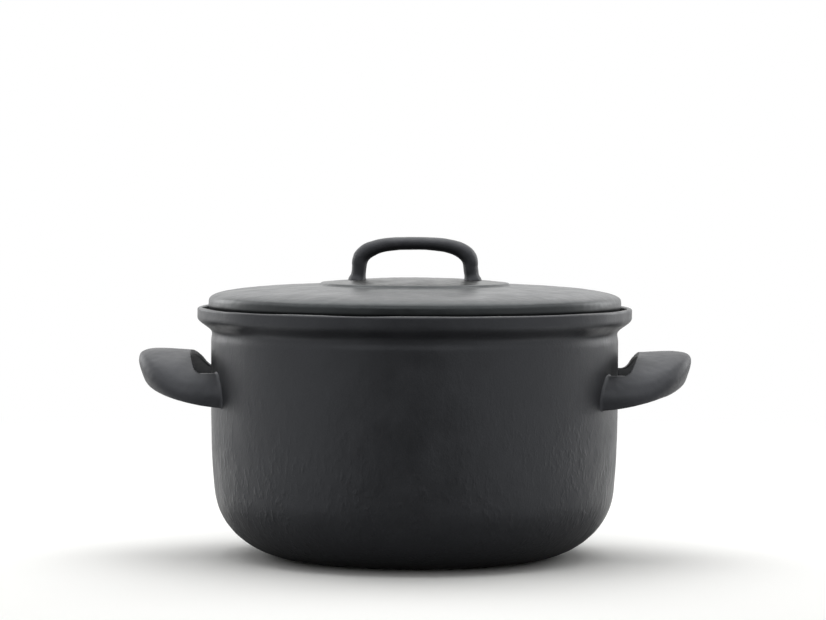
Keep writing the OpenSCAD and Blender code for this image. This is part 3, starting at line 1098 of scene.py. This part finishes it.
@dataclass
class Studio:
    """The plain stage: a pale floor, a white background, soft lamps and the camera.

    Lengths are in metres, the turn and the sweep's half angle in degrees, the pitch and the roll in radians.
    card_floor and card_stand are the card's brightness at the front and at the sides, and card_top is that
    of its top. The other pairs for the card are the ranges over which one value gives way to the next.
    """

    distance: float = 2.0
    turn: float = 2.2
    camera_z: float = 0.232
    pitch: float = 0.0429
    roll: float = 0.004
    focal_px: float = 3356.0
    frame_px: tuple[int, int] = (826, 620)
    axis_px: float = 414.8
    sensor: float = 36.0
    floor_colour: str = "#f4f4f2"
    floor_half: float = 12.0
    floor_z: float = -0.0002
    floor_melts: Pair = (0.3, 1.1)
    world_grey: float = 0.4
    sweep_r: float = 2.4
    sweep_h: float = 2.6
    sweep_half: float = 100.0
    sweep_bend: float = 0.5
    sweep_up: float = 0.002
    sweep_rings: tuple[float, ...] = (0.08, 0.4, 0.8, 1.3)
    bend_points: int = 12
    side_points: int = 61
    card_aside: Pair = (0.1, 0.9)
    card_near: Pair = (0.08, 0.135)
    card_reach: Pair = (0.11, 0.28)
    card_turn: Pair = (0.0, 0.2)
    card_floor: Pair = (0.26, 1.0)
    card_stand: Pair = (0.1, 0.7)
    card_rise: Pair = (0.72, 1.55)
    card_top: float = 2.4
    lamps: tuple[Lamp, ...] = (
        Lamp("top_lamp", (0.0, 0.35, 1.65), (0.0, 0.15, 0.1), (2.2, 1.9), 29.0),
        Lamp("back_lamp", (0.0, 2.3, 1.35), (0.0, 0.0, 0.15), (3.4, 1.5), 10.5),
        Lamp("left_lamp", (-1.4, 1.1, 0.6), (0.0, 0.0, 0.08), (0.8, 0.9), 7.5),
        Lamp("right_lamp", (1.4, 1.1, 0.6), (0.0, 0.0, 0.08), (0.8, 0.9), 6.5))

    def camera(self) -> None:
        """Places the camera from the picture's perspective: a long lens a little above the lid."""
        data = bpy.data.cameras.new("camera")
        data.sensor_fit = "HORIZONTAL"
        data.sensor_width = self.sensor
        data.lens = self.focal_px * data.sensor_width / self.frame_px[0]
        data.shift_x = (self.frame_px[0] / 2 - self.axis_px) / self.frame_px[0]
        a = math.radians(self.turn)
        ahead = Vector((-math.sin(a), math.cos(a), 0))
        forward = ahead * math.cos(self.pitch) + Vector((0, 0, -math.sin(self.pitch)))
        level = Vector((math.cos(a), math.sin(a), 0))
        above = ahead * math.sin(self.pitch) + Vector((0, 0, math.cos(self.pitch)))
        right = level * math.cos(self.roll) + above * math.sin(self.roll)
        up = above * math.cos(self.roll) - level * math.sin(self.roll)
        camera = bpy.data.objects.new("camera", data)
        place = ahead * -self.distance + Vector((0, 0, self.camera_z))
        basis = Matrix((right, up, -forward)).transposed().to_4x4()
        camera.matrix_world = Matrix.Translation(place) @ basis
        bpy.context.scene.collection.objects.link(camera)
        bpy.context.scene.camera = camera

    def floor(self) -> None:
        """A wide plain floor whose far part melts into the white background."""
        mesh = bpy.data.meshes.new("floor")
        half, z = self.floor_half, self.floor_z
        corners = [(-half, -half, z), (half, -half, z), (half, half, z), (-half, half, z)]
        mesh.from_pydata(corners, [], [(0, 1, 2, 3)])
        floor = bpy.data.objects.new("floor", mesh)
        bpy.context.scene.collection.objects.link(floor)
        made = bpy.data.materials.new("pale_matt_paper")
        tree = emptied(made)
        where = add_node(tree, "TexCoord").outputs["Object"]
        far = add_node(tree, "VectorMath", {"operation": "LENGTH"}, {0: where}).outputs["Value"]
        melt = add_node(tree, "MapRange", {"interpolation_type": "SMOOTHSTEP"}, {
            "Value": far, "From Min": self.floor_melts[0], "From Max": self.floor_melts[1]}).outputs["Result"]
        share = add_node(tree, "Math", {"operation": "MULTIPLY"}, {0: melt, 1: self.seen(tree)}).outputs[0]
        paper = add_node(tree, "BsdfDiffuse", {}, {"Color": linear(self.floor_colour)}).outputs[0]
        white = add_node(tree, "Emission", {}, {"Color": (1, 1, 1, 1), "Strength": 1.0}).outputs[0]
        blend = add_node(tree, "MixShader", {}, {0: share, 1: paper, 2: white}).outputs[0]
        add_node(tree, "OutputMaterial", {}, {"Surface": blend})
        mesh.materials.append(made)

    def seen(self, tree: Tree) -> Socket:
        """1 for the rays that show the background: from the camera, from gloss and through glass.

        Args:
            tree: The node tree that asks.

        Returns:
            The value, 0 for every other ray.
        """
        path = add_node(tree, "LightPath")
        both = add_node(tree, "Math", {"operation": "MAXIMUM"}, {
            0: path.outputs["Is Camera Ray"], 1: path.outputs["Is Glossy Ray"]}).outputs[0]
        return add_node(tree, "Math", {"operation": "MAXIMUM"}, {
            0: both, 1: path.outputs["Is Transmission Ray"]}).outputs[0]

    def world(self) -> None:
        """White where it is seen, and a soft even grey where it lights."""
        world = bpy.data.worlds.new("studio")
        bpy.context.scene.world = world
        tree = emptied(world)
        grey = add_node(tree, "Background", {}, {"Color": (1, 1, 1, 1), "Strength": self.world_grey}).outputs[0]
        white = add_node(tree, "Background", {}, {"Color": (1, 1, 1, 1), "Strength": 1.0}).outputs[0]
        blend = add_node(tree, "MixShader", {}, {0: self.seen(tree), 1: grey, 2: white}).outputs[0]
        add_node(tree, "OutputWorld", {}, {"Surface": blend})

    def sweep(self) -> None:
        """A graded card round the front, out of the camera's sight, which the dark enamel mirrors.

        Its profile lies on the floor, turns up and leans back, and is carried round the front of the pot: a
        point is (r sin a, -r cos a, z).
        """
        rise = np.linspace(0, np.pi / 2, self.bend_points)
        bend = self.sweep_bend * np.stack([np.sin(rise), 1 - np.cos(rise)], -1)
        bend += [self.sweep_r - self.sweep_bend, 0]
        flat = [[ring, 0.0] for ring in self.sweep_rings]
        profile = np.concatenate([flat, bend, [[self.sweep_r, self.sweep_h]]])
        a = np.radians(np.linspace(-self.sweep_half, self.sweep_half, self.side_points))
        r, z = profile[:, :1], np.broadcast_to(profile[:, 1:] + self.sweep_up, (len(profile), len(a)))
        points = np.stack([r * np.sin(a), -r * np.cos(a), z], -1).reshape(-1, 3)
        row, column = np.meshgrid(np.arange(len(profile) - 1), np.arange(len(a) - 1), indexing="ij")
        first = (row * len(a) + column).ravel()
        faces = np.stack([first, first + 1, first + len(a) + 1, first + len(a)], -1)
        card = new_piece("front_sweep", points / MM, [faces])
        card.visible_camera = False
        card.visible_shadow = False
        card.visible_diffuse = False
        made = bpy.data.materials.new("graded_grey_card")
        tree = emptied(made)
        light = add_node(tree, "Emission", {}, {
            "Color": (1, 1, 1, 1), "Strength": self.card_light(tree)}).outputs[0]
        add_node(tree, "OutputMaterial", {}, {"Surface": light})
        card.data.materials.append(made)

    def card_light(self, tree: Tree) -> Socket:
        """Brightness of the card: each part from its front value to its side value, and bright at the top.

        The part on the floor is dark right at the pot, a painted shadow of the pot on the floor that only the
        enamel's reflections show, and lit further out, and the part that stands up is dark at the pot's height.

        Args:
            tree: The card's node tree.

        Returns:
            The brightness.
        """
        apart = add_node(tree, "SeparateXYZ", {}, {0: add_node(tree, "TexCoord").outputs["Object"]})
        flat = add_node(tree, "CombineXYZ", {}, {0: apart.outputs[0], 1: apart.outputs[1]}).outputs[0]
        along = add_node(tree, "VectorMath", {"operation": "NORMALIZE"}, {0: flat}).outputs[0]
        sine = add_node(tree, "SeparateXYZ", {}, {0: along}).outputs[0]
        turn = add_node(tree, "Math", {"operation": "ABSOLUTE"}, {0: sine}).outputs[0]
        reach = add_node(tree, "VectorMath", {"operation": "LENGTH"}, {0: flat}).outputs["Value"]
        height = apart.outputs[2]
        aside, near, far, standing, high = (
            add_node(tree, "MapRange", {"interpolation_type": "SMOOTHSTEP"}, {
                "Value": value, "From Min": ends[0], "From Max": ends[1]}).outputs["Result"]
            for value, ends in ((turn, self.card_aside), (reach, self.card_near), (reach, self.card_reach),
                                (height, self.card_turn), (height, self.card_rise)))
        # Painted shadow: the floor part goes dark right at the pot and in front of it, where the pot's shadow
        # lies
        lit = add_node(tree, "Math", {"operation": "MULTIPLY"}, {0: aside, 1: far}).outputs[0]
        grey = add_node(tree, "Mix", {}, {0: lit, 2: self.card_floor[0], 3: self.card_floor[1]}).outputs[0]
        floor = add_node(tree, "Math", {"operation": "MULTIPLY"}, {0: grey, 1: near}).outputs[0]
        stand = add_node(tree, "Mix", {}, {0: aside, 2: self.card_stand[0], 3: self.card_stand[1]}).outputs[0]
        lower = add_node(tree, "Mix", {}, {0: standing, 2: floor, 3: stand}).outputs[0]
        return add_node(tree, "Mix", {}, {0: high, 2: lower, 3: self.card_top}).outputs[0]

    def build(self) -> None:
        """Sets the stage, the lamps and the camera."""
        scene = bpy.context.scene
        scene.view_settings.view_transform = "Standard"
        self.floor()
        self.world()
        self.sweep()
        for lamp in self.lamps:
            lamp.build()
        self.camera()


def main() -> None:
    """Builds the pot, the lid and the studio."""
    logging.basicConfig(level=logging.INFO, format="%(name)s: %(message)s")
    body_finish = BodyEnamel("satin_black_enamel_body").material()
    handle_finish = SatinEnamel(
        "satin_black_enamel_handles", roughness=(0.44, 0.56), grain_depth=0.05).material()
    lid_finish = LidEnamel(
        "satin_black_enamel_lid", glaze="#101214", thin_glaze="#191c1e", sheen_tint="#f2f9fb",
        roughness=(0.32, 0.42), grain_depth=0.06).material()
    bow_finish = SatinEnamel("satin_black_enamel_bow", roughness=(0.48, 0.6), grain_depth=0.07).material()
    body = PotBody()
    body.build(body_finish)
    for side in Side:
        SideHandle(side, body).build(handle_finish)
    shell = LidShell()
    shell.build(lid_finish)
    LidBow(shell).build(bow_finish)
    Studio().build()


if __name__ == "__main__":
    main()
